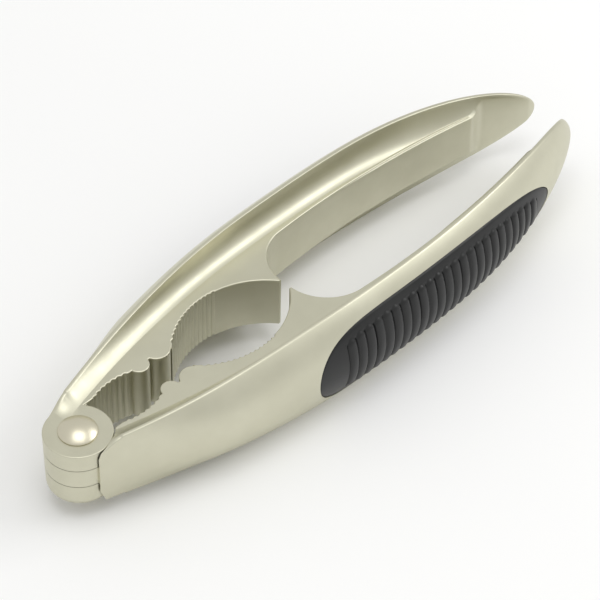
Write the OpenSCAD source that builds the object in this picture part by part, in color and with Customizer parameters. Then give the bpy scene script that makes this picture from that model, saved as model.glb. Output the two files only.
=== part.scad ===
// Plier-type nutcracker: a fork lever and a tongue lever turn on one rivet.
// Origin on the pivot axis, halfway through the levers' thickness.
// +X runs from the pivot to the handle tips, +Z along the rivet towards its domed head.
// The levers are drawn as they lie at rest, with the jaws almost closed.

/* [Levers] */
// Pivot axis to handle tip
reach = 166.5; // [140:0.5:200]
// Thickness of the jaws and of the knuckle stack
jaw_t = 15.2; // [12:0.2:20]
// Thickness of the inner web where it ends near the tip
web_end_t = 13.2; // [10:0.2:18]
// Full height of the handle shell at its deepest
handle_h = 28.2; // [24:0.2:34]
// How far the outside of a handle bulges beyond its rims
handle_bulge = 6.3; // [4:0.1:8]
// Distance of the rim from the centre plane where the handles are widest apart
rim_peak_y = 20.1; // [18:0.1:24]
// Distance of the rim from the centre plane at the tip
rim_tip_y = 5.7; // [4:0.1:8]
// Thickness of the raised rim
rim_t = 0.9; // [0.7:0.1:1.5]
// Height of the raised rim above the jaws beside the pivot
lip_h = 2; // [1:0.1:3]
// Length of the flat tip beyond the inner web
tip_l = 21; // [12:0.5:26]

/* [Pivot] */
// Radius of the knuckle discs
knuckle_r = 8.3; // [8:0.1:10.5]
// Thickness of the tongue between the two ears
tongue_t = 5.4; // [3.5:0.1:7]
// How far the lower ear reaches below the jaws
foot_h = 2; // [0:0.1:3]
// Radius of the rivet shank
shank_r = 3; // [2.2:0.1:3.8]
// Radius of the domed rivet head
head_r = 4.7; // [4.2:0.1:6]
// Height of the domed rivet head
head_h = 1.9; // [1.2:0.1:2.6]
// Height of the peened tail of the rivet
tail_h = 1.2; // [0.8:0.1:1.8]
// Radial running clearance of the tongue on the shank
bore_clear = 0.06; // [0.02:0.01:0.1]
// Gap between each ear and the tongue
ear_gap = 0.15; // [0.1:0.05:0.3]
// Gap between a knuckle disc and the recess that it turns in
recess_gap = 0.35; // [0.2:0.05:0.5]

/* [Jaws] */
// Distance of the floor line of the small hollow from the centre plane
small_hollow_y = 6; // [5:0.1:6.5]
// Radius of the small hollow
small_hollow_r = 17; // [14:0.5:20]
// Distance of the notches beside the lobes from the centre plane
notch_y = 5.1; // [4.6:0.1:5.6]
// Radius of the lobe nearer the pivot
lobe_1_r = 2.6; // [2:0.1:3]
// Radius of the lobe farther from the pivot
lobe_2_r = 3.5; // [2.6:0.1:3.6]
// How far the lobes stand out from the notches
lobe_out = 2.2; // [1.4:0.1:2.6]
// Radius of the large hollow
large_hollow_r = 22.6; // [20:0.2:26]
// Distance of the floor of the large hollow from the centre plane
large_hollow_y = 10.5; // [9:0.1:12]
// Distance of the jaw noses from the centre plane
nose_y = 1.7; // [1.2:0.1:2.5]
// Radius of one gripping flute
flute_r = 0.75; // [0.5:0.05:1]
// Depth of one gripping flute
flute_d = 0.3; // [0.1:0.05:0.4]
// Number of flutes in each small hollow
small_flutes = 7; // [0:1:9]
// Number of flutes in each large hollow
large_flutes = 14; // [0:1:18]

/* [Handle web] */
// Distance of the inner wall of the handle from the centre plane
web_in_y = 14.2; // [12:0.1:16]
// Distance of that wall from the centre plane where the web ends
web_end_y = 9.7; // [8:0.1:11]
// Radius of the hollow corner behind the jaw nose
corner_r = 12.5; // [8:0.5:16]
// Width of the fillet between the web and the rim
fillet_w = 4.2; // [2.5:0.1:4.5]

/* [Grips] */
// Where a grip starts, from the pivot axis
grip_x0 = 54.3; // [50:0.1:64]
// Where a grip ends, measured back from the handle tip
grip_tip_gap = 22.7; // [20:0.1:30]
// Height of the metal left above a grip, and below it, at its widest
grip_rim_gap = 3.3; // [2.6:0.1:5]
// Depth of the pocket that holds a grip
pocket_d = 1.8; // [1.2:0.1:2.4]
// How far a grip stands proud of the metal
grip_proud = 0.4; // [0.2:0.1:0.8]
// Glue gap round a grip
glue_gap = 0.05; // [0.02:0.01:0.1]
// Number of ribs on a grip
ribs = 24; // [12:1:30]
// Depth of the grooves between the ribs
groove_d = 1; // [0.4:0.1:1.2]

/* [Hidden] */
$fn = 96;

metal = "#bdb9a2";
rubber = "#2f3030";
steel = "#cfc9ae";

jaw_z = jaw_t / 2;
foot_z = jaw_z + foot_h;
rim_z = handle_h / 2;

// Stations along a lever, from the pivot axis
peak_x = 86;              // the rims are farthest apart here
deep_x0 = 69;             // the handle shell keeps its full height from here
deep_x1 = 107;            // to here, where it lies on a table
web_end_x = reach - tip_l;
shell_x0 = -1.5;          // the shell starts inside the knuckle disc
lip_x = 5;                // the raised lip reaches its height here
taper_x = 60;             // the web starts to thin here
jaw_x0 = knuckle_r - 0.7; // the jaw starts inside the knuckle disc
lobe_1_x = 24.4;
lobe_2_x = 30.8;
jaw_split_x = 33.3;       // the lobes end and the large hollow starts
large_hollow_x = 49.6;    // deepest point of the large hollow
small_hollow_x = 15.5;    // deepest point of the small hollow
paddle_l = 6;             // length over which the shell turns into the flat tip
bow_x = 95;               // top of the inner wall's bow
bulge_start = 0.15;       // share of the bulge that the outside has beside the pivot
bulge_run = 34;           // length over which the bulge grows to its full size
bulge_fall = 0.75;        // power by which the bulge follows the shell's height
rim_rise = 2.3;           // powers that shape the rim before and after its peak
rim_fall = 2.4;
shell_fall = 2.2;         // power that shapes the shell's taper to the tip
lip_lead = 12;            // the lip starts to rise this far before lip_x
slant_share = 0.7;        // straight share of the fillet at both ends of the handle
slant_x = [10, 55, 105, 140]; // it fades out over the first pair and back in over the second
grip_mid_x = 90;          // widest point of a grip
grip_x1 = reach - grip_tip_gap;
grip_half_h = rim_z - grip_rim_gap;

eps = 0.01;

function mix(a, b, s) = a + (b - a) * s;
function unit(v) = min(1, max(0, v));
function ease(v) = let (s = unit(v)) s * s * (3 - 2 * s);

// Distance of the rim from the centre plane at x
rim_start_y = knuckle_r + 0.3;
function rim_y(x) =
    x < peak_x
    ? mix(rim_peak_y, rim_start_y, pow(1 - x / peak_x, rim_rise))
    : mix(rim_peak_y, rim_tip_y, pow(unit((x - peak_x) / (reach - peak_x)), rim_fall));

// Half the height of the handle shell at x
lip_z = jaw_z + lip_h;
function shell_z(x) =
    x < lip_x ? mix(jaw_z - 0.3, lip_z, ease((x - shell_x0) / (lip_x - shell_x0)))
    : x < deep_x0 ? mix(lip_z, rim_z, ease((x - lip_x + lip_lead) / (deep_x0 - lip_x + lip_lead)))
    : x < deep_x1 ? rim_z
    : rim_z * sqrt(1 - pow(unit((x - deep_x1) / (reach - deep_x1)), shell_fall));

// The shell's lower half starts at the foot of the lower ear, so it is taller there
function shell_low(x) =
    x < lip_x ? mix(foot_z, lip_z, unit((x - shell_x0) / (lip_x - shell_x0))) : shell_z(x);

// How far the outside stands beyond the rim at x
function bulge(x) =
    handle_bulge * pow(shell_z(x) / rim_z, bulge_fall)
    * mix(bulge_start, 1, ease((x - shell_x0) / bulge_run));

// Radius of the outside's arc across the handle, and where its centre lies
function arc_r(x) = let (h = shell_low(x), b = bulge(x)) (h * h + b * b) / (2 * b);
function arc_y(x) = rim_y(x) + bulge(x) - arc_r(x);

// Half the thickness of the web at x
function web_z(x) = mix(jaw_z, web_end_t / 2, unit((x - taper_x) / (web_end_x - taper_x)));

// Distance of the handle's inner wall from the centre plane at x: one long bow
bow_drop = web_in_y - web_end_y;
web_bow_r = (pow(web_end_x - bow_x, 2) + bow_drop * bow_drop) / (2 * bow_drop);
function web_in(x) = web_in_y - web_bow_r + sqrt(web_bow_r * web_bow_r - pow(x - bow_x, 2));

// Width of the fillet at x, kept inside the wall that it runs into
function fillet(x) = max(1.2, min(fillet_w, rim_y(x) - rim_t - web_in(x) - 0.3));

// Share of a straight slope in the fillet at x: high at both ends, none in the middle
function step_up(x, from, to) = ease((x - from) / (to - from));
function slant(x) =
    slant_share * (1 - step_up(x, slant_x[0], slant_x[1]) + step_up(x, slant_x[2], slant_x[3]));

// Half height of a grip's outline at x, drawn in by an inset; the powers shape its two ends
grip_near_power = 5;
grip_far_power = 3;
function grip_z(x, inset = 0) =
    let (near = x < grip_mid_x,
         u = near ? (grip_mid_x - x) / (grip_mid_x - grip_x0 - inset)
                  : (x - grip_mid_x) / (grip_x1 - inset - grip_mid_x))
    (grip_half_h - inset) * sqrt(max(0, 1 - pow(unit(u), near ? grip_near_power : grip_far_power)));

// A closed solid through rings of points that all have the same count
module loft(rings) {
    n = len(rings[0]);
    m = len(rings);
    points = [for (r = rings) each r];
    sides = [for (i = [0 : m - 2], j = [0 : n - 1])
        let (a = i * n + j, b = i * n + (j + 1) % n)
        each [[b, a, a + n], [b + n, b, a + n]]];
    caps = [[for (j = [0 : n - 1]) j], [for (j = [n - 1 : -1 : 0]) (m - 1) * n + j]];
    polyhedron(points, concat(sides, caps));
}

// ---- Handle shell ----

arc_steps = 12;
fillet_end = 72;
fillet_steps = [0, 25, 50, fillet_end];

// Inner half of a shell section of height h: rim at y, fillet and a point inside the web
function shell_inside(x, h, y) =
    let (t = rim_t * min(1, h / 4), f = fillet(x), w = web_z(x),
         s = ease((x - web_end_x) / paddle_l), low = w - 0.4, q = slant(x))
    concat(
        [for (a = fillet_steps)
            let (along = a / fillet_end,
                 width = f * mix(1 - cos(a), along * (1 - cos(fillet_end)), q),
                 drop = (h - w) * mix(sin(a), along * sin(fillet_end), q))
            [mix(y - t - width, y - t - 0.3 * sin(a), s), mix(h - drop, h * (1 - 0.002 * a), s)]],
        [[mix(y - t - f - 0.6, y - t - 0.35, s), mix(min(low, h - 0.2), h * 0.7, s)]]);

function shell_ring(x) =
    let (r = arc_r(x), c = arc_y(x), top = asin(shell_z(x) / r), foot = asin(shell_low(x) / r),
         above = shell_inside(x, shell_z(x), c + r * cos(top)),
         below = shell_inside(x, shell_low(x), rim_y(x)))
    concat(
        [for (i = [0 : arc_steps]) let (a = mix(-foot, top, i / arc_steps))
            [x, c + r * cos(a), r * sin(a)]],
        [for (p = above) [x, p[0], p[1]]],
        [for (i = [len(below) - 1 : -1 : 0]) [x, below[i][0], -below[i][1]]]);

// Stations crowd together at the pivot, at the web's end and at the tip
function shell_stations() = concat(
    [for (i = [0 : 3]) mix(shell_x0, lip_x, i / 4)],
    [for (i = [0 : 9]) mix(lip_x, deep_x0, pow(i / 10, 1.2))],
    [for (i = [0 : 3]) mix(deep_x0, deep_x1, i / 4)],
    [for (i = [0 : 5]) mix(deep_x1, web_end_x - 0.3, i / 6)],
    [for (i = [0 : 4]) mix(web_end_x - 0.3, web_end_x + paddle_l + 0.3, i / 4)],
    [for (i = [0 : 10]) reach - 0.02 - (tip_l - paddle_l - 2.5) * pow(1 - i / 10, 2)]);

module shell() {
    loft([for (x = shell_stations()) shell_ring(x)]);
}

// ---- Web with the jaws ----

// Centres of the hollows' arcs lie on the far side of the centre plane
small_cy = small_hollow_y - small_hollow_r;
large_cy = large_hollow_y - large_hollow_r;

// The jaw nose stands just outside the large hollow
nose_flat = 0.6;
nose_x = large_hollow_x + nose_flat
    + sqrt(large_hollow_r * large_hollow_r - pow(nose_y - large_cy, 2));

// Outer edge of the web, buried in the shell
function buried_edge() = [for (x = [2 : 9 : web_end_x]) [x, rim_y(x) - 0.4]];

// Inner edge from the web's end back to the nose of the jaw
corner_x = nose_x + corner_r;
corner_top = web_in(corner_x) - corner_r;
function inner_edge() = concat(
    [for (x = [web_end_x : -8 : corner_x + 1]) [x, web_in(x)]],
    [for (a = [90 : 10 : 170]) [corner_x + corner_r * cos(a), corner_top + corner_r * sin(a)]],
    [[nose_x, nose_y]]);

// Where the flutes start and end along each hollow
small_run = [knuckle_r + 0.8, 20.6];
large_run = [34.6, 54];

// Shallow scoops side by side along a hollow's wall
module flutes(count, cx, cy, r, run) {
    for (i = [0 : 1 : count - 1]) {
        turn = asin((mix(run[0], run[1], (i + 0.5) / count) - cx) / r);
        translate([cx, cy])
            rotate(-turn)
                translate([0, r - flute_r + flute_d])
                    circle(flute_r, $fn = 24);
    }
}

module web_outline() {
    difference() {
        polygon(concat(
            [[0, 0]],
            [[0, rim_start_y - 0.4]],
            buried_edge(),
            [[web_end_x, rim_y(web_end_x) - 0.4]],
            inner_edge(),
            [[jaw_x0, nose_y]]));
        translate([0, -eps]) square([jaw_split_x, notch_y + eps]);
        translate([small_hollow_x, small_cy]) circle(small_hollow_r);
        translate([large_hollow_x, large_cy]) circle(large_hollow_r);
        flutes(small_flutes, small_hollow_x, small_cy, small_hollow_r, small_run);
        flutes(large_flutes, large_hollow_x, large_cy, large_hollow_r, large_run);
    }
    lobe(lobe_1_x, lobe_1_r);
    lobe(lobe_2_x, lobe_2_r);
}

module lobe(x, r) {
    translate([x, notch_y - lobe_out + r]) circle(r, $fn = 48);
}

// The web is thickest at the jaws and thins along the handle
module web_slab() {
    rotate([90, 0, 0])
        linear_extrude(height = 100, center = true)
            polygon([
                [-20, jaw_z], [taper_x, jaw_z], [web_end_x + 10, web_z(web_end_x + 10)],
                [web_end_x + 10, -web_z(web_end_x + 10)], [taper_x, -jaw_z], [-20, -jaw_z]]);
}

module web() {
    intersection() {
        linear_extrude(height = jaw_t, center = true) web_outline();
        web_slab();
    }
}

// ---- Grips and their pockets ----

// Prism with the outline of a grip, reaching out along +Y
module grip_prism(inset) {
    n = 14;
    xs = [for (i = [-n : n])
        mix(grip_x0 + inset, grip_x1 - inset, 0.5 + 0.5 * sin(i * 90 / n))];
    rotate([90, 0, 0])
        mirror([0, 0, 1])
            linear_extrude(height = 60)
                polygon(concat(
                    [for (x = xs) [x, grip_z(x, inset)]],
                    [for (i = [2 * n - 1 : -1 : 1]) [xs[i], -grip_z(xs[i], inset)]]));
}

skin_steps = 14;

// One arc across the handle at x, offset from its outside
function skin_arc(x, off) =
    let (r = arc_r(x), c = arc_y(x), top = asin(0.9 * shell_z(x) / r))
    [for (i = [0 : skin_steps]) let (a = mix(-top, top, i / skin_steps))
        [x, c + (r + off) * cos(a), (r + off) * sin(a)]];

// Everything from an inner offset of the handle's outside to an outer one
module skin(inner, outer, stations) {
    loft([for (x = stations) concat(
        skin_arc(x, outer),
        [for (i = [skin_steps : -1 : 0]) skin_arc(x, inner)[i]])]);
}

function plain_stations() = [for (i = [0 : 11]) mix(grip_x0 - 1, grip_x1 + 1, i / 11)];

module pocket() {
    intersection() {
        grip_prism(0);
        skin(-pocket_d, 4, plain_stations());
    }
}

rib_x0 = grip_x0 + 9.5;
rib_x1 = grip_x1 - 6.5;
rib_border = 1.6;

// Depth of the groove at a point of the grip's face: none along the borders
function groove(x, z) =
    let (u = (x - rib_x0) / (rib_x1 - rib_x0), edge = grip_z(x) - rib_border - abs(z))
    u <= 0 || u >= 1 ? 0
    : groove_d * (0.5 - 0.5 * cos(360 * ribs * u)) * unit(edge / 0.8);

function ribbed_arc(x) =
    let (r = arc_r(x), c = arc_y(x), top = asin(0.9 * shell_z(x) / r))
    [for (i = [0 : skin_steps])
        let (a = mix(-top, top, i / skin_steps),
             rr = r + grip_proud - groove(x, r * sin(a)))
        [x, c + rr * cos(a), rr * sin(a)]];

function grip_stations() = concat(
    [grip_x0 - 1, grip_x0 + 3, grip_x0 + 6],
    [for (i = [0 : ribs * 2]) mix(rib_x0, rib_x1, i / (ribs * 2))],
    [grip_x1 - 2.5, grip_x1 + 1]);

module grip() {
    intersection() {
        grip_prism(glue_gap);
        loft([for (x = grip_stations()) concat(
            ribbed_arc(x),
            [for (i = [skin_steps : -1 : 0]) skin_arc(x, glue_gap - pocket_d)[i]])]);
    }
}

// ---- The five pieces ----

module lever_blank() {
    difference() {
        union() {
            web();
            shell();
            translate([0, 0, -foot_z]) cylinder(r = knuckle_r, h = foot_z + jaw_z);
        }
        pocket();
    }
}

module fork_lever() {
    slot_t = tongue_t + 2 * ear_gap;
    color(metal)
        difference() {
            lever_blank();
            cylinder(r = knuckle_r + recess_gap, h = slot_t, center = true);
            cylinder(r = shank_r + 0.01, h = 2 * foot_z + 2, center = true);
        }
}

module tongue_lever() {
    ear_room = handle_h;
    color(metal)
        mirror([0, 1, 0])
            difference() {
                lever_blank();
                for (s = [0, 1])
                    mirror([0, 0, s])
                        translate([0, 0, tongue_t / 2])
                            cylinder(r = knuckle_r + recess_gap, h = ear_room);
                cylinder(r = shank_r + bore_clear, h = jaw_t + 2, center = true);
            }
}

module fork_grip() {
    color(rubber) grip();
}

module tongue_grip() {
    color(rubber) mirror([0, 1, 0]) grip();
}

// Solid rivet: domed head on top, shank through both levers, peened tail below
module rivet() {
    head_edge = 0.35;
    tail_r = head_r - 0.2;
    dome = head_h - head_edge;
    dome_r = (head_r * head_r + dome * dome) / (2 * dome);
    tail_dome_r = (tail_r * tail_r + tail_h * tail_h) / (2 * tail_h);
    color(steel)
        rotate_extrude()
            union() {
                translate([0, -foot_z - eps]) square([shank_r, foot_z + jaw_z + 2 * eps]);
                translate([0, jaw_z]) square([head_r, head_edge]);
                intersection() {
                    translate([0, jaw_z + head_h - dome_r]) circle(dome_r);
                    translate([0, jaw_z + head_edge - eps]) square([head_r, head_h]);
                }
                intersection() {
                    translate([0, -foot_z - tail_h + tail_dome_r]) circle(tail_dome_r);
                    translate([0, -foot_z - 2 * tail_h]) square([tail_r, 2 * tail_h]);
                }
            }
}

fork_lever();
tongue_lever();
fork_grip();
tongue_grip();
rivet();
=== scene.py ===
"""Plier-type nutcracker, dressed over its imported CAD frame.

Lengths are in millimetres until mesh_object() turns them into metres.
The two levers, the two grips and the rivet are rebuilt finer than their CAD nodes.
"""
import math

import bmesh
import bpy
from mathutils import Matrix, Vector


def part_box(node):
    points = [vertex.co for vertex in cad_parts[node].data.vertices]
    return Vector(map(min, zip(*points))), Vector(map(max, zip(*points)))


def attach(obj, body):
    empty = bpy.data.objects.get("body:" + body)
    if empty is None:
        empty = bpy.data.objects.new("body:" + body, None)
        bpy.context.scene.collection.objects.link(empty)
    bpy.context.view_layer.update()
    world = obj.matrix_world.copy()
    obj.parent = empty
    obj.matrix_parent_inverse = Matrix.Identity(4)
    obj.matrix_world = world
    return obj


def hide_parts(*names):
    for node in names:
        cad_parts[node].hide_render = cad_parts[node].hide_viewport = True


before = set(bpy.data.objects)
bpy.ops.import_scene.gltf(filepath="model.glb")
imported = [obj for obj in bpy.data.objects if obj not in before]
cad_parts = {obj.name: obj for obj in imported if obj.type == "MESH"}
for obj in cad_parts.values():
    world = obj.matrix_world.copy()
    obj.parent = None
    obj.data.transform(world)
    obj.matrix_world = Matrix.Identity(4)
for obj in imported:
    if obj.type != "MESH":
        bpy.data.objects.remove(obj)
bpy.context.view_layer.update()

MM = 0.001
EPS = 0.01      # a hair's width, for rims that stay crisp and for steps that keep faces apart

# ---- Sizes taken from the frame ----


def box_mm(node):
    low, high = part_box(node)
    return [v / MM for v in low], [v / MM for v in high]


FORK_LOW, FORK_HIGH = box_mm("fork_lever")
RIVET_LOW, RIVET_HIGH = box_mm("rivet")
TIP_SHORT = 0.02         # the CAD's shell ends this far before its reach
REACH = FORK_HIGH[0] + TIP_SHORT
KNUCKLE_R = -FORK_LOW[0]
RIM_Z = FORK_HIGH[2]
HEAD_R = RIVET_HIGH[0]
HEAD_TOP = RIVET_HIGH[2]
TAIL_BOTTOM = RIVET_LOW[2]

# ---- Sizes repeated from the CAD source ----

JAW_T = 15.2
WEB_END_T = 13.2
HANDLE_BULGE = 6.3
RIM_PEAK_Y = 20.1
RIM_TIP_Y = 5.7
RIM_T = 0.9
LIP_H = 2.0
TIP_L = 21.0

TONGUE_T = 5.4
FOOT_H = 2.0
SHANK_R = 3.0
BORE_CLEAR = 0.06
EAR_GAP = 0.15
RECESS_GAP = 0.35
HEAD_EDGE = 0.35

SMALL_HOLLOW_X, SMALL_HOLLOW_Y, SMALL_HOLLOW_R = 15.5, 6.0, 17.0
LARGE_HOLLOW_X, LARGE_HOLLOW_Y, LARGE_HOLLOW_R = 49.6, 10.5, 22.6
NOTCH_Y = 5.1
LOBES = [(24.4, 2.6), (30.8, 3.5)]
LOBE_OUT = 2.2
JAW_SPLIT_X = 33.3
NOSE_Y = 1.7
NOSE_FLAT = 0.6
FLUTE_R = 0.75
FLUTE_D = 0.3
SMALL_FLUTES = 7
LARGE_FLUTES = 14
SMALL_RUN_END = 20.6
LARGE_RUN = (34.6, 54.0)

WEB_IN_Y = 14.2
WEB_END_Y = 9.7
BOW_X = 95.0
CORNER_R = 12.5
FILLET_W = 4.2

GRIP_X0 = 54.3
GRIP_TIP_GAP = 22.7
GRIP_RIM_GAP = 3.3
GRIP_MID_X = 90.0
POCKET_D = 1.8
GRIP_PROUD = 0.4
GLUE_GAP = 0.05
RIBS = 24
GROOVE_D = 1.0

PEAK_X = 86.0
DEEP_X0, DEEP_X1 = 69.0, 107.0
SHELL_X0 = -1.5
LIP_X = 5.0
TAPER_X = 60.0
PADDLE_L = 6.0

BULGE_START = 0.15       # share of the bulge that the outside has beside the pivot
BULGE_RUN = 34           # length over which the bulge grows to its full size
BULGE_FALL = 0.75        # power by which the bulge follows the shell's height
RIM_RISE = 2.3           # powers that shape the rim before and after its peak
RIM_FALL = 2.4
SHELL_FALL = 2.2         # power that shapes the shell's taper to the tip
LIP_LEAD = 12            # the lip starts to rise this far before LIP_X
LIP_SINK = 0.3           # the shell starts this far below the top of the jaws
SLANT_SHARE = 0.7        # straight share of the fillet at both ends of the handle
SLANT_X = (10, 55, 105, 140)    # it fades out over the first pair and back in over the second
FILLET_LEAST = 1.2       # narrowest fillet
FILLET_CLEAR = 0.3       # wall left between the fillet and the inner wall
GRIP_NEAR_POWER = 5      # powers that shape the two ends of a grip's outline
GRIP_FAR_POWER = 3

JAW_Z = JAW_T / 2
FOOT_Z = JAW_Z + FOOT_H
LIP_Z = JAW_Z + LIP_H
WEB_END_X = REACH - TIP_L
RIM_START_Y = KNUCKLE_R + 0.3
SMALL_RUN = (KNUCKLE_R + 0.8, SMALL_RUN_END)
SMALL_CY = SMALL_HOLLOW_Y - SMALL_HOLLOW_R
LARGE_CY = LARGE_HOLLOW_Y - LARGE_HOLLOW_R
NOSE_X = LARGE_HOLLOW_X + NOSE_FLAT + math.sqrt(LARGE_HOLLOW_R**2 - (NOSE_Y - LARGE_CY)**2)
BOW_DROP = WEB_IN_Y - WEB_END_Y
WEB_BOW_R = ((WEB_END_X - BOW_X)**2 + BOW_DROP**2) / (2 * BOW_DROP)
GRIP_X1 = REACH - GRIP_TIP_GAP
GRIP_HALF_H = RIM_Z - GRIP_RIM_GAP
FLOOR_Z = -RIM_Z

# ---- Shape functions, the same as the CAD source's ----


def mix(a, b, s):
    return a + (b - a) * s


def unit(v):
    return min(1.0, max(0.0, v))


def ease(v):
    s = unit(v)
    return s * s * (3 - 2 * s)


def rim_y(x):
    """Distance of the rim from the centre plane."""
    if x < PEAK_X:
        return mix(RIM_PEAK_Y, RIM_START_Y, (1 - x / PEAK_X) ** RIM_RISE)
    return mix(RIM_PEAK_Y, RIM_TIP_Y, unit((x - PEAK_X) / (REACH - PEAK_X)) ** RIM_FALL)


def shell_z(x):
    """Half the height of the handle shell."""
    if x < LIP_X:
        return mix(JAW_Z - LIP_SINK, LIP_Z, ease((x - SHELL_X0) / (LIP_X - SHELL_X0)))
    if x < DEEP_X0:
        return mix(LIP_Z, RIM_Z, ease((x - LIP_X + LIP_LEAD) / (DEEP_X0 - LIP_X + LIP_LEAD)))
    if x < DEEP_X1:
        return RIM_Z
    return RIM_Z * math.sqrt(1 - unit((x - DEEP_X1) / (REACH - DEEP_X1)) ** SHELL_FALL)


def shell_low(x):
    """Depth of the shell's lower half, which starts at the foot of the lower ear."""
    if x < LIP_X:
        return mix(FOOT_Z, LIP_Z, unit((x - SHELL_X0) / (LIP_X - SHELL_X0)))
    return shell_z(x)


def bulge(x):
    """How far the outside stands beyond the rim."""
    grown = mix(BULGE_START, 1, ease((x - SHELL_X0) / BULGE_RUN))
    return HANDLE_BULGE * (shell_z(x) / RIM_Z) ** BULGE_FALL * grown


def arc_r(x):
    h, b = shell_low(x), bulge(x)
    return (h * h + b * b) / (2 * b)


def arc_y(x):
    return rim_y(x) + bulge(x) - arc_r(x)


def web_z(x):
    """Half the thickness of the web."""
    return mix(JAW_Z, WEB_END_T / 2, unit((x - TAPER_X) / (WEB_END_X - TAPER_X)))


def web_in(x):
    """Distance of the handle's inner wall from the centre plane."""
    return WEB_IN_Y - WEB_BOW_R + math.sqrt(WEB_BOW_R**2 - (x - BOW_X) ** 2)


def fillet(x):
    """Width of the fillet, kept inside the wall that it runs into."""
    return max(FILLET_LEAST, min(FILLET_W, rim_y(x) - RIM_T - web_in(x) - FILLET_CLEAR))


def step_up(x, start, end):
    return ease((x - start) / (end - start))


def slant(x):
    """Share of a straight slope in the fillet: high at both ends, none in the middle."""
    return SLANT_SHARE * (1 - step_up(x, *SLANT_X[:2]) + step_up(x, *SLANT_X[2:]))


def grip_z(x, inset=0.0):
    """Half height of a grip's outline."""
    near = x < GRIP_MID_X
    end = GRIP_X0 + inset if near else GRIP_X1 - inset
    u = (x - GRIP_MID_X) / (end - GRIP_MID_X)
    power = GRIP_NEAR_POWER if near else GRIP_FAR_POWER
    return (GRIP_HALF_H - inset) * math.sqrt(max(0.0, 1 - unit(u) ** power))


# ---- Mesh helpers ----


def mesh_object(name, points, faces):
    mesh = bpy.data.meshes.new(name)
    mesh.from_pydata([tuple(c * MM for c in p) for p in points], [], faces)
    mesh.validate()
    mesh.update()
    thing = bpy.data.objects.new(name, mesh)
    bpy.context.scene.collection.objects.link(thing)
    return thing


def loft(name, rings):
    """Closed solid through rings of points that all have the same count."""
    n, m = len(rings[0]), len(rings)
    faces = []
    for i in range(m - 1):
        for j in range(n):
            k = (j + 1) % n
            faces.append((i * n + j, i * n + k, (i + 1) * n + k, (i + 1) * n + j))
    faces.append(tuple(range(n - 1, -1, -1)))
    faces.append(tuple((m - 1) * n + j for j in range(n)))
    thing = mesh_object(name, [p for r in rings for p in r], faces)
    face_out(thing)
    return thing


def face_out(thing):
    bm = bmesh.new()
    bm.from_mesh(thing.data)
    bmesh.ops.recalc_face_normals(bm, faces=bm.faces)
    if bm.calc_volume(signed=True) < 0:
        bmesh.ops.reverse_faces(bm, faces=bm.faces)
    bm.to_mesh(thing.data)
    bm.free()


def turned(name, profile, steps=160):
    """Closed solid turned about Z from (radius, z) points that start and end on the axis."""
    rings = []
    for r, z in profile[1:-1]:
        rings.append([(r * math.cos(a), r * math.sin(a), z)
                      for a in (2 * math.pi * k / steps for k in range(steps))])
    return loft(name, rings)


def combine(base, tool, operation):
    """Boolean of two closed solids; the tool is used up."""
    step = base.modifiers.new(operation, "BOOLEAN")
    step.operation = operation
    step.object = tool
    step.solver = "MANIFOLD"
    graph = bpy.context.evaluated_depsgraph_get()
    mesh = bpy.data.meshes.new_from_object(base.evaluated_get(graph))
    base.modifiers.clear()
    old = base.data
    base.data = mesh
    bpy.data.meshes.remove(old)
    used = tool.data
    bpy.data.objects.remove(tool)
    bpy.data.meshes.remove(used)
    return base


def flip_y(thing):
    thing.data.transform(Matrix.Diagonal((1, -1, 1, 1)))
    thing.data.flip_normals()
    return thing


def curve3(a, b, c, steps):
    """Points of a quadratic curve from a to c that leans towards b."""
    out = []
    for k in range(steps + 1):
        s = k / steps
        out.append(tuple((1 - s) ** 2 * p + 2 * s * (1 - s) * q + s * s * r
                         for p, q, r in zip(a, b, c)))
    return out


def shade(thing, angle=32):
    """Smooth shading that keeps real edges and flat faces crisp."""
    mesh = thing.data
    for poly in mesh.polygons:
        poly.use_smooth = True
    mesh.set_sharp_from_angle(angle=math.radians(angle))
    step = thing.modifiers.new("flat_faces", "WEIGHTED_NORMAL")
    step.keep_sharp = True
    step.weight = 60


# ---- Handle shell ----

ARC_STEPS = 64
FILLET_STEPS = 18
ROUND = 0.32
ROUND_STEPS = 5
FILLET_END = 84        # angle that the fillet turns through, in degrees
THIN_H = 4.0           # where the shell's half height is under this, its rim thins with it
TIP_EASE = 0.3         # slack at both ends of the stretch where the shell turns into the tip
BURIED = 0.4           # how far the web's outer edge and the fillet's end lie inside the metal


def shell_inside(x, h, y):
    """Inner half of a section: rounded corner of the rim, fillet and the dive into the web."""
    f, w = fillet(x), web_z(x)
    t = RIM_T * min(1.0, h / THIN_H)
    s = ease((x - WEB_END_X) / PADDLE_L)
    first = math.degrees(math.asin(min(1.0, ROUND / max(h - w, 0.8))))

    q = slant(x)
    end_sin, end_cos = math.sin(math.radians(FILLET_END)), math.cos(math.radians(FILLET_END))

    def point(a):
        sin, cos = math.sin(math.radians(a)), math.cos(math.radians(a))
        along = a / FILLET_END
        width = f * mix(1 - cos, along * (1 - end_cos), q)
        drop = (h - w) * mix(sin, along * end_sin, q)
        return mix(y - t - width, y - t - 0.3 * sin, s), mix(h - drop, h * (1 - 0.002 * a), s)

    d = ROUND * min(1.0, h / THIN_H)
    corner = curve3((y - t + d * 0.9, h), (y - t, h), point(first), ROUND_STEPS)
    run = [point(mix(first, FILLET_END, (k + 1) / FILLET_STEPS)) for k in range(FILLET_STEPS)]
    low = min(w - BURIED, h - 0.2)
    dive = (mix(y - t - f - 0.6, y - t - 0.35, s), mix(low, h * 0.7, s))
    return corner + run + [dive]


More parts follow.
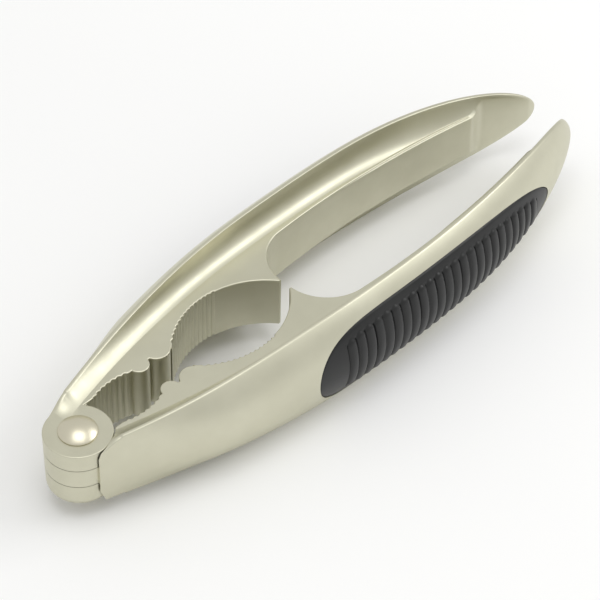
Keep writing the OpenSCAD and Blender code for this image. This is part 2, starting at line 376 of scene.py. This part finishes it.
def rim_half(x, h, r, c):
    """Half of a section from the end of its outside arc over the rim to the web's inside."""
    end = math.asin(h / r)
    d = ROUND * min(1.0, h / THIN_H)
    y = c + r * math.cos(end)
    last = (c + r * math.cos(end - d / r), r * math.sin(end - d / r))
    return curve3(last, (y, h), (y - d, h), ROUND_STEPS)[1:] + shell_inside(x, h, y)


def shell_ring(x):
    high, low, r, c = shell_z(x), shell_low(x), arc_r(x), arc_y(x)
    first = ROUND * min(1.0, low / THIN_H) / r - math.asin(low / r)
    last = math.asin(high / r) - ROUND * min(1.0, high / THIN_H) / r
    arc = [(c + r * math.cos(a), r * math.sin(a))
           for a in (mix(first, last, k / ARC_STEPS) for k in range(ARC_STEPS + 1))]
    upper = rim_half(x, high, r, c)
    lower = [(p, -q) for p, q in reversed(rim_half(x, low, r, c))]
    return [(x, p, q) for p, q in arc + upper + lower]


def shell_stations():
    near = [mix(SHELL_X0, LIP_X, k / 16) for k in range(16)]
    jaw = [mix(LIP_X, DEEP_X0, k / 50) for k in range(50)]
    deep = [mix(DEEP_X0, DEEP_X1, k / 24) for k in range(24)]
    far = [mix(DEEP_X1, WEB_END_X - TIP_EASE, k / 28) for k in range(28)]
    paddle_end = WEB_END_X + PADDLE_L + TIP_EASE
    paddle = [mix(WEB_END_X - TIP_EASE, paddle_end, k / 24) for k in range(24)]
    span = TIP_L - PADDLE_L - TIP_EASE
    tip = [REACH - TIP_SHORT - (span - TIP_SHORT) * (1 - k / 40) ** 2 for k in range(41)]
    return near + jaw + deep + far + paddle + tip


def make_shell(name):
    return loft(name, [shell_ring(x) for x in shell_stations()])


# ---- Web with the jaws ----

EDGE_ROUND = 0.35      # rounding of the web's top and bottom edges
EDGE_STEPS = 6
WEB_OVER = 2.0         # how far a cutter reaches past the web
OUTLINE_STEP = 1.5     # spacing of the points along the web's long edges
HOLLOW_STEPS = 720
FLUTE_STEPS = 32
JAW_START = 0.7        # the jaw starts this far inside the knuckle


def edge_round():
    """(inset, z) round the web's upper edge, from its wall to its top."""
    out = []
    for k in range(EDGE_STEPS + 1):
        a = math.pi / 2 * k / EDGE_STEPS
        out.append((EDGE_ROUND * (1 - math.cos(a)), JAW_Z - EDGE_ROUND * (1 - math.sin(a))))
    return out


def both_ends(upper):
    """(value, z) pairs of the upper half, with their mirror image below."""
    return [(v, -z) for v, z in reversed(upper)] + upper


def cutter_profile():
    """(growth, z) of a cutter that opens as it leaves the web, which rounds the edge it leaves."""
    return both_ends(edge_round() + [(EDGE_ROUND, JAW_Z + WEB_OVER)])


def moved(thing, x, y):
    thing.data.transform(Matrix.Translation((x * MM, y * MM, 0)))
    return thing


def round_cutter(x, y, r, steps):
    profile = [(0, 0)] + [(r + g, z) for g, z in cutter_profile()] + [(0, 0)]
    return moved(turned("cut", profile, steps), x, y)


def flute_places():
    """Centres of the gripping flutes along both hollows."""
    out = []
    runs = [(SMALL_FLUTES, SMALL_HOLLOW_X, SMALL_CY, SMALL_HOLLOW_R, SMALL_RUN),
            (LARGE_FLUTES, LARGE_HOLLOW_X, LARGE_CY, LARGE_HOLLOW_R, LARGE_RUN)]
    for count, cx, cy, r, (start, end) in runs:
        for i in range(count):
            turn = math.asin((mix(start, end, (i + 0.5) / count) - cx) / r)
            far = r - FLUTE_R + FLUTE_D
            out.append((cx + far * math.sin(turn), cy + far * math.cos(turn)))
    return out


def inset_outline(outline, inset):
    """The outline drawn in along its corners' normals; it goes round clockwise."""
    out = []
    for i, (x, y) in enumerate(outline):
        (ax, ay), (bx, by) = outline[i - 1], outline[(i + 1) % len(outline)]
        back = Vector((x - ax, y - ay)).normalized()
        ahead = Vector((bx - x, by - y)).normalized()
        normal = Vector((back.y + ahead.y, -back.x - ahead.x)).normalized()
        out.append((x + normal.x * inset, y + normal.y * inset))
    return out


def web_blank():
    """Outline of the web before its hollows are cut, going round once."""
    edge_x = [2 + OUTLINE_STEP * k for k in range(int((WEB_END_X - 2) / OUTLINE_STEP) + 1)]
    outer = [(0, 0), (0, RIM_START_Y - BURIED)] + [(x, rim_y(x) - BURIED) for x in edge_x]
    outer.append((WEB_END_X, rim_y(WEB_END_X) - BURIED))
    corner_x = NOSE_X + CORNER_R
    corner_y = web_in(corner_x) - CORNER_R
    count = int((WEB_END_X - corner_x - 1) / OUTLINE_STEP)
    inner = [(x, web_in(x)) for x in (mix(WEB_END_X, corner_x + 1, k / count)
                                      for k in range(count + 1))]
    bend = [(corner_x + CORNER_R * math.cos(a), corner_y + CORNER_R * math.sin(a))
            for a in (math.radians(90 + 2.5 * k) for k in range(33))]
    return outer + inner + bend + [(NOSE_X, NOSE_Y), (KNUCKLE_R - JAW_START, NOSE_Y)]


def make_web(name):
    outline = web_blank()
    web = loft(name, [[(x, y, z) for x, y in inset_outline(outline, g)]
                      for g, z in both_ends(edge_round())])
    notch = loft("cut", [[(0, -0.01, z), (JAW_SPLIT_X + g, -0.01, z),
                          (JAW_SPLIT_X + g, NOTCH_Y + g, z), (0, NOTCH_Y + g, z)]
                         for g, z in cutter_profile()])
    combine(web, notch, "DIFFERENCE")
    combine(web, round_cutter(SMALL_HOLLOW_X, SMALL_CY, SMALL_HOLLOW_R, HOLLOW_STEPS), "DIFFERENCE")
    combine(web, round_cutter(LARGE_HOLLOW_X, LARGE_CY, LARGE_HOLLOW_R, HOLLOW_STEPS), "DIFFERENCE")
    for x, y in flute_places():
        combine(web, round_cutter(x, y, FLUTE_R, FLUTE_STEPS), "DIFFERENCE")
    for x, r in LOBES:
        lobe = rounded_disc("lobe", r, -JAW_Z, JAW_Z, EDGE_ROUND, EDGE_ROUND)
        combine(web, moved(lobe, x, NOTCH_Y - LOBE_OUT + r), "UNION")
    taper(web)
    return web


def taper(web):
    """Thins the web from TAPER_X to its end, with one clean crease across it."""
    bm = bmesh.new()
    bm.from_mesh(web.data)
    bmesh.ops.dissolve_limit(bm, angle_limit=math.radians(0.5), verts=bm.verts, edges=bm.edges)
    everything = bm.verts[:] + bm.edges[:] + bm.faces[:]
    bmesh.ops.bisect_plane(bm, geom=everything, plane_co=(TAPER_X * MM, 0, 0),
                           plane_no=(1, 0, 0))
    for v in bm.verts:
        v.co.z *= web_z(v.co.x / MM) / JAW_Z
    bm.to_mesh(web.data)
    bm.free()


# ---- Grips ----

GRIP_COLUMNS = 460
GRIP_ROWS = 84
RIB_NEAR_GAP = 9.5      # smooth rubber before the first rib and after the last
RIB_FAR_GAP = 6.5
RIB_X0 = GRIP_X0 + RIB_NEAR_GAP
RIB_X1 = GRIP_X1 - RIB_FAR_GAP
RIB_PITCH = (RIB_X1 - RIB_X0) / RIBS
RIB_BORDER = 2.0      # smooth strip between the ribs' ends and the grip's edge
RIB_BASE = 0.45       # depth of that strip below the ribs' crests
CROWN = 0.9           # width of the rounded border of the rubber
CROWN_D = 0.45        # depth of that border
END_LEAN = 1.4        # the border is narrower by this factor at a grip's two ends
RIB_SQUARE = 1.2      # power that shapes a rib's crest
RIB_FADE = 0.8        # share of a rib's half pitch over which its groove runs out


def skin_arc(x, off, rows):
    """One arc across the handle, offset from its outside; off may depend on z."""
    r, c = arc_r(x), arc_y(x)
    top = math.asin(0.9 * shell_z(x) / r)
    out = []
    for k in range(rows + 1):
        a = mix(-top, top, k / rows)
        rr = r + (off(r * math.sin(a)) if callable(off) else off)
        out.append((x, c + rr * math.cos(a), rr * math.sin(a)))
    return out


def skin(name, inner, outer, stations, rows):
    rings = []
    for x in stations:
        high = outer(x) if callable(outer) else outer
        rings.append(skin_arc(x, high, rows) + skin_arc(x, inner, rows)[::-1])
    return loft(name, rings)


def grip_prism(name, inset):
    """Prism with a grip's outline, reaching out along +Y."""
    n = 60
    xs = [mix(GRIP_X0 + inset, GRIP_X1 - inset, 0.5 + 0.5 * math.sin(math.pi / 2 * k / n))
          for k in range(-n, n + 1)]
    outline = [(x, grip_z(x, inset)) for x in xs]
    outline += [(x, -z) for x, z in outline[-2:0:-1]]
    return loft(name, [[(x, y, z) for x, z in outline] for y in (5.0, 40.0)])


def rib_depth(x, z):
    """Depth below the ribs' crests: round-ended ribs on a smooth strip with a rounded border."""
    to_edge = min(grip_z(x) - abs(z), END_LEAN * (x - GRIP_X0), END_LEAN * (GRIP_X1 - x))
    crown = 1 - unit(to_edge / CROWN)
    border = CROWN_D * (1 - math.sqrt(max(0.0, 1 - crown * crown)))
    place = (x - RIB_X0) / RIB_PITCH
    if place < 0 or place > RIBS:
        return RIB_BASE + border
    across = abs(2 * (place % 1) - 1)
    past_end = max(0.0, abs(z) - grip_z(x) + RIB_BORDER + RIB_PITCH / 2) / (RIB_PITCH / 2)
    round_off = 1 - math.sqrt(max(0.0, 1 - across**2 - past_end**2))
    floor = mix(GROOVE_D, RIB_BASE, ease(past_end / RIB_FADE))
    return min(floor, GROOVE_D * round_off**RIB_SQUARE) + border


def make_grip(name):
    stations = [mix(GRIP_X0 - 1, GRIP_X1 + 1, k / GRIP_COLUMNS) for k in range(GRIP_COLUMNS + 1)]
    grip = skin(name, GLUE_GAP - POCKET_D,
                lambda x: (lambda z: GRIP_PROUD - rib_depth(x, z)), stations, GRIP_ROWS)
    return combine(grip, grip_prism("outline", GLUE_GAP), "INTERSECT")


def make_pocket(name):
    stations = [mix(GRIP_X0 - 1, GRIP_X1 + 1, k / 90) for k in range(91)]
    pocket = skin(name, -POCKET_D, 4.0, stations, 40)
    return combine(pocket, grip_prism("outline", 0.0), "INTERSECT")


# ---- Levers ----


def rounded_disc(name, r, low, high, low_round, high_round):
    """Turned disc with rounded rims."""
    profile = [(0, low), (0.01, low)]
    profile += curve3((r - low_round, low), (r, low), (r, low + low_round), 8)
    profile += curve3((r, high - high_round), (r, high), (r - high_round, high), 8)
    profile += [(0.01, high), (0, high)]
    return turned(name, profile)


def plain_disc(name, r, low, high):
    """Turned disc with crisp rims."""
    return rounded_disc(name, r, low, high, EPS, EPS)


KNUCKLE_DRAFT = 0.4    # how much slimmer the knuckle stack is at its foot than at its top
KNUCKLE_FOOT = 2.2     # rounding of the stack's lower edge
FOOT_FLARE = 0.2       # how far its wall has widened again where that rounding ends
KNUCKLE_EDGE = 0.35    # rounding of the stack's upper edge


def make_knuckle():
    foot_r = KNUCKLE_R - KNUCKLE_DRAFT
    profile = [(0, -FOOT_Z), (0.01, -FOOT_Z)]
    profile += curve3((foot_r - KNUCKLE_FOOT, -FOOT_Z), (foot_r, -FOOT_Z),
                      (foot_r + FOOT_FLARE, -FOOT_Z + KNUCKLE_FOOT), 12)
    profile += curve3((KNUCKLE_R, JAW_Z - KNUCKLE_EDGE), (KNUCKLE_R, JAW_Z),
                      (KNUCKLE_R - KNUCKLE_EDGE, JAW_Z), 6)
    profile += [(0.01, JAW_Z), (0, JAW_Z)]
    return turned("knuckle", profile)


def lever_blank(name):
    lever = make_shell(name)
    combine(lever, make_web("web"), "UNION")
    combine(lever, make_knuckle(), "UNION")
    return combine(lever, make_pocket("pocket"), "DIFFERENCE")


def make_fork_lever():
    lever = lever_blank("fork_lever_cast")
    half = TONGUE_T / 2 + EAR_GAP
    slot = plain_disc("slot", KNUCKLE_R + RECESS_GAP, -half, half)
    combine(lever, slot, "DIFFERENCE")
    bore = plain_disc("bore", SHANK_R + EPS, -RIM_Z, RIM_Z)
    return combine(lever, bore, "DIFFERENCE")


def make_tongue_lever():
    lever = lever_blank("tongue_lever_cast")
    for side in (1, -1):
        ends = sorted((side * TONGUE_T / 2, side * 2 * RIM_Z))
        room = plain_disc("room", KNUCKLE_R + RECESS_GAP, *ends)
        combine(lever, room, "DIFFERENCE")
    bore = plain_disc("bore", SHANK_R + BORE_CLEAR, -JAW_T, JAW_T)
    combine(lever, bore, "DIFFERENCE")
    return flip_y(lever)


# ---- Rivet ----


def dome(r, rise, z0, side, steps=24):
    """Points of a spherical cap from its edge to its top."""
    ball = (r * r + rise * rise) / (2 * rise)
    full = math.asin(min(1.0, r / ball))
    return [(ball * math.sin(a), z0 + side * (rise - ball + ball * math.cos(a)))
            for a in (mix(full, 0.01, k / steps) for k in range(steps + 1))]


def make_rivet():
    edge = 0.18
    top_rise = HEAD_TOP - JAW_Z - HEAD_EDGE
    tail_r = HEAD_R - 0.2
    tail_rise = -FOOT_Z - TAIL_BOTTOM
    profile = [(0, TAIL_BOTTOM)]
    profile += dome(tail_r, tail_rise, -FOOT_Z, -1)[::-1]
    profile += [(SHANK_R, -FOOT_Z), (SHANK_R, JAW_Z), (HEAD_R - edge, JAW_Z + 0.01)]
    profile += curve3((HEAD_R - edge, JAW_Z + 0.01), (HEAD_R, JAW_Z), (HEAD_R, JAW_Z + edge), 5)[1:]
    cap = dome(HEAD_R, top_rise, JAW_Z + HEAD_EDGE, 1)
    profile += curve3((HEAD_R, JAW_Z + HEAD_EDGE - edge / 2), cap[0], cap[2], 6)[:-1]
    profile += cap[2:]
    profile.append((0, HEAD_TOP))
    return turned("rivet_turned", profile)


# ---- Materials ----


def new_material(name):
    material = bpy.data.materials.new(name)
    material.use_nodes = True
    nodes = material.node_tree.nodes
    return material, nodes, material.node_tree.links, nodes["Principled BSDF"]


def noise_node(nodes, links, scale, detail, roughness):
    place = nodes.new("ShaderNodeTexCoord")
    texture = nodes.new("ShaderNodeTexNoise")
    texture.inputs["Scale"].default_value = scale
    texture.inputs["Detail"].default_value = detail
    texture.inputs["Roughness"].default_value = roughness
    links.new(place.outputs["Object"], texture.inputs["Vector"])
    return texture


def ramp(nodes, links, source, stops):
    node = nodes.new("ShaderNodeValToRGB")
    node.color_ramp.elements[0].position = stops[0][0]
    node.color_ramp.elements[0].color = stops[0][1]
    node.color_ramp.elements[1].position = stops[1][0]
    node.color_ramp.elements[1].color = stops[1][1]
    links.new(source, node.inputs["Fac"])
    return node


def to_range(nodes, links, source, low, high):
    """Spreads the middle of a noise over a range of values."""
    node = nodes.new("ShaderNodeMapRange")
    node.inputs["From Min"].default_value = 0.3
    node.inputs["From Max"].default_value = 0.7
    node.inputs["To Min"].default_value = low
    node.inputs["To Max"].default_value = high
    links.new(source, node.inputs["Value"])
    return node


def bump(nodes, links, sources, shader):
    """Stacks bumps of (height socket, distance in metres, strength) onto the shader."""
    last = None
    for source, distance, strength in sources:
        node = nodes.new("ShaderNodeBump")
        node.inputs["Distance"].default_value = distance
        node.inputs["Strength"].default_value = strength
        links.new(source, node.inputs["Height"])
        if last:
            links.new(last.outputs["Normal"], node.inputs["Normal"])
        last = node
    links.new(last.outputs["Normal"], shader.inputs["Normal"])


def nickel(name, dark, light, rough_low, rough_high):
    """Satin nickel over a casting: faint clouds, a fine grain and soft orange peel."""
    material, nodes, links, shader = new_material(name)
    shader.inputs["Metallic"].default_value = 1.0
    clouds = noise_node(nodes, links, 90, 4, 0.55)
    tone = ramp(nodes, links, clouds.outputs["Fac"], [(0.3, dark), (0.7, light)])
    links.new(tone.outputs["Color"], shader.inputs["Base Color"])
    smear = noise_node(nodes, links, 260, 5, 0.6)
    rough = to_range(nodes, links, smear.outputs["Fac"], rough_low, rough_high)
    links.new(rough.outputs["Result"], shader.inputs["Roughness"])
    grain = noise_node(nodes, links, 5200, 2, 0.5)
    peel = noise_node(nodes, links, 700, 2, 0.5)
    bump(nodes, links, [(peel.outputs["Fac"], 0.00002, 0.15),
                        (grain.outputs["Fac"], 0.00001, 0.3)], shader)
    return material


def rubber(name):
    """Moulded rubber: charcoal with paler bloom and a fine matte grain."""
    material, nodes, links, shader = new_material(name)
    bloom = noise_node(nodes, links, 140, 5, 0.6)
    tone = ramp(nodes, links, bloom.outputs["Fac"],
                [(0.3, (0.009, 0.0092, 0.0095, 1)), (0.75, (0.015, 0.0155, 0.0155, 1))])
    links.new(tone.outputs["Color"], shader.inputs["Base Color"])
    rough = to_range(nodes, links, bloom.outputs["Fac"], 0.30, 0.40)
    shader.inputs["Specular IOR Level"].default_value = 0.4
    links.new(rough.outputs["Result"], shader.inputs["Roughness"])
    grain = noise_node(nodes, links, 3800, 2, 0.5)
    bump(nodes, links, [(grain.outputs["Fac"], 0.00002, 0.4)], shader)
    return material


def pale_floor(name):
    material, nodes, links, shader = new_material(name)
    cloth = noise_node(nodes, links, 6, 2, 0.5)
    tone = ramp(nodes, links, cloth.outputs["Fac"],
                [(0.3, (0.93, 0.93, 0.93, 1)), (0.7, (0.95, 0.95, 0.95, 1))])
    links.new(tone.outputs["Color"], shader.inputs["Base Color"])
    shader.inputs["Roughness"].default_value = 0.9
    return material


# ---- The pieces ----

CAST = nickel("satin_nickel", (0.615, 0.60, 0.475, 1), (0.655, 0.64, 0.512, 1), 0.37, 0.45)
RIVET_METAL = nickel("rivet_nickel", (0.69, 0.65, 0.51, 1), (0.74, 0.70, 0.56, 1), 0.30, 0.36)
RUBBER = rubber("grip_rubber")


def dress(piece, body, node, material):
    shade(piece)
    piece.data.materials.clear()
    piece.data.materials.append(material)
    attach(piece, body)
    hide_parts(node)


dress(make_fork_lever(), "fork", "fork_lever", CAST)
dress(make_tongue_lever(), "tongue", "tongue_lever", CAST)
dress(make_grip("fork_grip_rubber"), "fork", "fork_grip", RUBBER)
dress(flip_y(make_grip("tongue_grip_rubber")), "tongue", "tongue_grip", RUBBER)
dress(make_rivet(), "fork", "rivet", RIVET_METAL)

# ---- Floor, light and camera ----

FLOOR_SIZE = 3.0


def make_floor():
    half = FLOOR_SIZE / 2 / MM
    floor = mesh_object("floor", [(-half, -half, FLOOR_Z), (half, -half, FLOOR_Z),
                                  (half, half, FLOOR_Z), (-half, half, FLOOR_Z)], [(0, 1, 2, 3)])
    floor.data.materials.append(pale_floor("pale_floor"))


def aim(thing, target):
    direction = Vector(target) - thing.location
    thing.rotation_euler = direction.to_track_quat("-Z", "Y").to_euler()


def area_light(name, azimuth, elevation, distance, size, power, target=(0.08, 0, 0)):
    data = bpy.data.lights.new(name, "AREA")
    data.shape = "RECTANGLE"
    data.size, data.size_y = size
    data.energy = power
    lamp = bpy.data.objects.new(name, data)
    az, el = math.radians(azimuth), math.radians(elevation)
    lamp.location = (target[0] + distance * math.cos(el) * math.cos(az),
                     target[1] + distance * math.cos(el) * math.sin(az),
                     target[2] + distance * math.sin(el))
    aim(lamp, target)
    bpy.context.scene.collection.objects.link(lamp)


def make_world(strength):
    world = bpy.data.worlds.new("studio")
    world.use_nodes = True
    back = world.node_tree.nodes["Background"]
    back.inputs["Color"].default_value = (1.0, 1.0, 0.985, 1)
    back.inputs["Strength"].default_value = strength
    bpy.context.scene.world = world


CAMERA_AZIMUTH = 43.46      # heading of the view, from +X towards +Y
CAMERA_ELEVATION = 45.30
CAMERA_ROLL = 1.17
CAMERA_DISTANCE = 684.8
CAMERA_TARGET = (71.78, -1.27, 0.0)
CAMERA_LENS = 168.4


def make_camera():
    data = bpy.data.cameras.new("camera")
    data.lens = CAMERA_LENS
    data.sensor_width = 36
    data.clip_start = 0.01
    camera = bpy.data.objects.new("camera", data)
    az, el = math.radians(CAMERA_AZIMUTH), math.radians(CAMERA_ELEVATION)
    view = Vector((math.cos(el) * math.cos(az), math.cos(el) * math.sin(az), -math.sin(el)))
    place = (Vector(CAMERA_TARGET) - view * CAMERA_DISTANCE) * MM
    right = view.cross(Vector((0, 0, 1))).normalized()
    up = right.cross(view)
    turn = Matrix((right, up, -view)).transposed()
    roll = Matrix.Rotation(math.radians(CAMERA_ROLL), 3, "Z")
    camera.matrix_world = Matrix.Translation(place) @ (turn @ roll).to_4x4()
    bpy.context.scene.collection.objects.link(camera)
    bpy.context.scene.camera = camera


make_floor()
make_world(strength=0.72)
area_light("key_soft", azimuth=-30, elevation=40, distance=0.9, size=(0.6, 0.36), power=1.9)
area_light("fill_soft", azimuth=-140, elevation=86, distance=1.0, size=(0.6, 0.6), power=2.2)
make_camera()
bpy.context.scene.view_settings.view_transform = "Standard"
